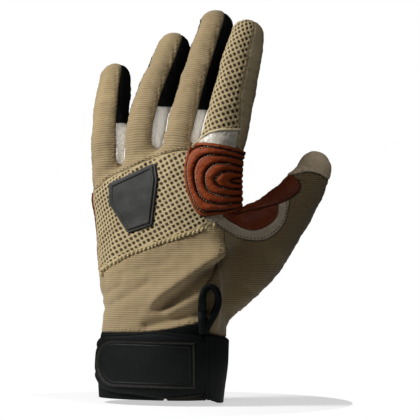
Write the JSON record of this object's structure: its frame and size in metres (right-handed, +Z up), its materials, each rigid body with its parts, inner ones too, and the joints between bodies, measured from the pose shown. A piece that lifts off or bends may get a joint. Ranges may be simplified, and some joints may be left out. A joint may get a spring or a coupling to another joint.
{
  "type": "rope work glove",
  "caption": "Left-hand rope work glove in its worn, open shape: tan ribbed cloth and mesh back, leather palm, padded rust knuckle patch, black cuff, strap and pull loop.",
  "frame": {"origin": "The centre of the wrist opening, at the height of the cuff's lower edge.", "axes": "+Z runs up the hand towards the fingertips, -Y is the back of the hand, +X is the thumb's side."},
  "size_m": [0.1425, 0.0994, 0.2449],
  "materials": {
    "ribbed_cloth": "khaki tan cloth with fine level ribs",
    "air_mesh": "cream open mesh cloth over a dark lining",
    "grain_leather": "matte beige glove leather",
    "pale_leather": "smooth pale leather, satin",
    "rust_leather": "rust brown leather, satin",
    "dark_rust_leather": "dark rust leather, satin",
    "grey_band": "pale grey leather, matte",
    "cap_leather": "grey tan leather, matte",
    "black_cloth": "black knitted and woven cloth, matte",
    "white_cloth": "pale stretch cloth, matte",
    "black_rubber": "black moulded rubber, satin",
    "tan_piping": "twisted tan cord"
  },
  "bodies": {
    "root": {"knuckle_fabric": "ribbed_cloth", "wrist_fabric": "ribbed_cloth", "thumb_fabric": "ribbed_cloth", "hand_mesh": "air_mesh", "index_mesh": "air_mesh", "palm_leather": "grain_leather", "thumb_front": "grain_leather", "little_front": "grain_leather", "ring_front": "grain_leather", "middle_front": "grain_leather", "index_leather": "grain_leather", "index_base_leather": "pale_leather", "knuckle_patch": "rust_leather", "palm_patch": "rust_leather", "thumb_saddle": "dark_rust_leather", "lower_saddle": "dark_rust_leather", "crotch_band": "grey_band", "thumb_cap": "cap_leather", "cuff": "black_cloth", "wrist_strap": "black_cloth", "strap_tab": "black_cloth", "pull_loop": "black_cloth", "little_ring_side": "black_cloth", "ring_little_side": "black_cloth", "ring_middle_side": "black_cloth", "middle_ring_side": "black_cloth", "middle_index_side": "black_cloth", "index_middle_side": "black_cloth", "web_little_ring": "white_cloth", "web_ring_middle": "white_cloth", "web_middle_index": "white_cloth", "badge": "black_rubber", "strap_plate": "black_rubber", "mesh_piping": "tan_piping"}
  },
  "joints": []
}
